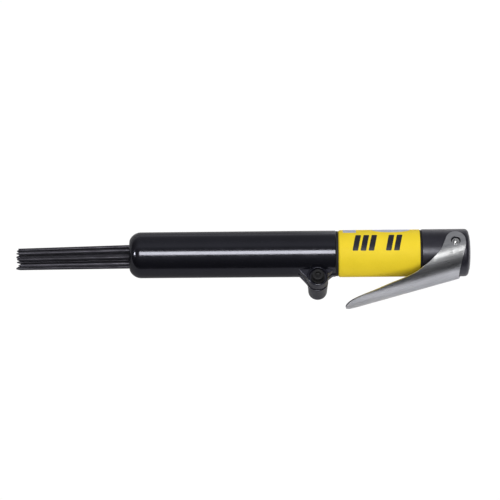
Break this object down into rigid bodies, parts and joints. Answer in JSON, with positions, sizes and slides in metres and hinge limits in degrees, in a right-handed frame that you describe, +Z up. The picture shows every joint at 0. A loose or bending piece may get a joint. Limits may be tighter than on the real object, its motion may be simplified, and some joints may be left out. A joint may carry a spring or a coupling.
{
  "type": "needle scaler",
  "caption": "Inline pneumatic needle scaler: a long nose tube with a clamp boss holds a pack of loose steel needles, behind it a yellow grip sleeve and a hinged throttle lever.",
  "frame": {"origin": "centre of the overall bounding box at its bottom, on the surface the tool lies on", "axes": "+X along the barrel towards the air inlet, rising 0.57 degrees; -Y towards the throttle lever; +Z up, the tool lying on its side"},
  "size_m": [0.3858, 0.0718, 0.0443],
  "materials": {
    "black_paint": "gloss",
    "black_satin": "satin",
    "yellow_sleeve": "semi-gloss",
    "stainless": "brushed",
    "needle_steel": "oiled, dark",
    "fastener_steel": "blackened",
    "machined_steel": "ground",
    "spring_steel": "drawn wire",
    "brass": "turned",
    "rubber": "matte"
  },
  "bodies": {
    "barrel": {"cylinder": "machined_steel", "anvil_bush": "brass", "anvil_buffer_ring": "rubber", "spacer_tube": "machined_steel", "distributor_plate": "machined_steel", "distributor_chest": "machined_steel", "distributor_dowel": "machined_steel", "exhaust_ring": "rubber", "grip_sleeve": "yellow_sleeve", "cap_gasket": "rubber", "rear_cap": "black_satin", "cap_o_ring": "rubber", "inlet_bush": "machined_steel", "inlet_strainer": "brass", "plunger_bush": "brass", "plunger_seal": "rubber", "throttle_seat": "brass", "throttle_spring": "spring_steel", "throttle_plug": "fastener_steel", "lever_pivot_screw_up": "machined_steel", "lever_pivot_screw_down": "machined_steel"},
    "nose": {"nose_tube": "black_paint", "spring_seat_ring": "machined_steel", "clamp_washer": "fastener_steel", "clamp_screw": "fastener_steel", "return_spring": "spring_steel"},
    "holder": {"needle_holder": "machined_steel"},
    "anvil": {"anvil": "machined_steel"},
    "piston": {"piston": "machined_steel"},
    "flapper": {"flapper_disc": "machined_steel"},
    "plunger": {"throttle_plunger": "stainless"},
    "lever": {"lever": "stainless"},
    "needle_01": {"needle_01": "needle_steel"},
    "needle_02": {"needle_02": "needle_steel"},
    "needle_03": {"needle_03": "needle_steel"},
    "needle_04": {"needle_04": "needle_steel"},
    "needle_05": {"needle_05": "needle_steel"},
    "needle_06": {"needle_06": "needle_steel"},
    "needle_07": {"needle_07": "needle_steel"},
    "needle_08": {"needle_08": "needle_steel"},
    "needle_09": {"needle_09": "needle_steel"},
    "needle_10": {"needle_10": "needle_steel"},
    "needle_11": {"needle_11": "needle_steel"},
    "needle_12": {"needle_12": "needle_steel"}
  },
  "joints": [
    {"name": "lever_hinge", "type": "hinge", "parent": "barrel", "child": "lever", "pos_m": [0.17997, 0.01574, 0.02215], "axis": [0.01, -0.0052, -0.9999], "range_deg": [0, 15], "stiffness_Nm_per_rad": 0.4, "springref_deg": -17.19},
    {"name": "plunger_slide", "type": "slide", "parent": "barrel", "child": "plunger", "axis": [0.0001, 1, -0.0052], "range_m": [0, 0.0048], "deforming": ["throttle_spring"]},
    {"name": "nose_tube_slide", "type": "slide", "parent": "barrel", "child": "nose", "axis": [-1, 0, -0.01], "range_m": [0, 0.012], "deforming": ["return_spring"]},
    {"name": "needle_holder_slide", "type": "slide", "parent": "barrel", "child": "holder", "axis": [-1, 0, -0.01], "range_m": [0, 0.008], "stiffness_N_per_m": 2000, "springref_m": -0.01, "deforming": ["return_spring"]},
    {"name": "anvil_slide", "type": "slide", "parent": "barrel", "child": "anvil", "axis": [-1, 0, -0.01], "range_m": [0, 0.0035]},
    {"name": "piston_slide", "type": "slide", "parent": "barrel", "child": "piston", "axis": [1, 0, 0.01], "range_m": [0, 0.024]},
    {"name": "flapper_slide", "type": "slide", "parent": "barrel", "child": "flapper", "axis": [1, 0, 0.01], "range_m": [0, 0.002]},
    {"name": "needle_01_slide", "type": "slide", "parent": "holder", "child": "needle_01", "axis": [0.9994, 0.0015, 0.0338], "range_m": [0, 0.006]},
    {"name": "needle_02_slide", "type": "slide", "parent": "holder", "child": "needle_02", "axis": [0.9993, 0.007, 0.0369], "range_m": [0, 0.006]},
    {"name": "needle_03_slide", "type": "slide", "parent": "holder", "child": "needle_03", "axis": [0.999, 0.0092, 0.0428], "range_m": [0, 0.006]},
    {"name": "needle_04_slide", "type": "slide", "parent": "holder", "child": "needle_04", "axis": [0.9988, 0.0071, 0.0487], "range_m": [0, 0.006]},
    {"name": "needle_05_slide", "type": "slide", "parent": "holder", "child": "needle_05", "axis": [0.9987, 0.0016, 0.0518], "range_m": [0, 0.006]},
    {"name": "needle_06_slide", "type": "slide", "parent": "holder", "child": "needle_06", "axis": [0.9987, -0.0045, 0.0508], "range_m": [0, 0.006]},
    {"name": "needle_07_slide", "type": "slide", "parent": "holder", "child": "needle_07", "axis": [0.9989, -0.0086, 0.046], "range_m": [0, 0.006]},
    {"name": "needle_08_slide", "type": "slide", "parent": "holder", "child": "needle_08", "axis": [0.9992, -0.0086, 0.0397], "range_m": [0, 0.006]},
    {"name": "needle_09_slide", "type": "slide", "parent": "holder", "child": "needle_09", "axis": [0.9994, -0.0046, 0.0349], "range_m": [0, 0.006]},
    {"name": "needle_10_slide", "type": "slide", "parent": "holder", "child": "needle_10", "axis": [0.9991, 0.0022, 0.042], "range_m": [0, 0.006]},
    {"name": "needle_11_slide", "type": "slide", "parent": "holder", "child": "needle_11", "axis": [0.999, -0.0004, 0.0451], "range_m": [0, 0.006]},
    {"name": "needle_12_slide", "type": "slide", "parent": "holder", "child": "needle_12", "axis": [0.9991, -0.0018, 0.0413], "range_m": [0, 0.006]}
  ],
  "couplings": [
    {"joint": "plunger_slide", "follows": "lever_hinge", "m_per_rad": 0.0179}
  ]
}
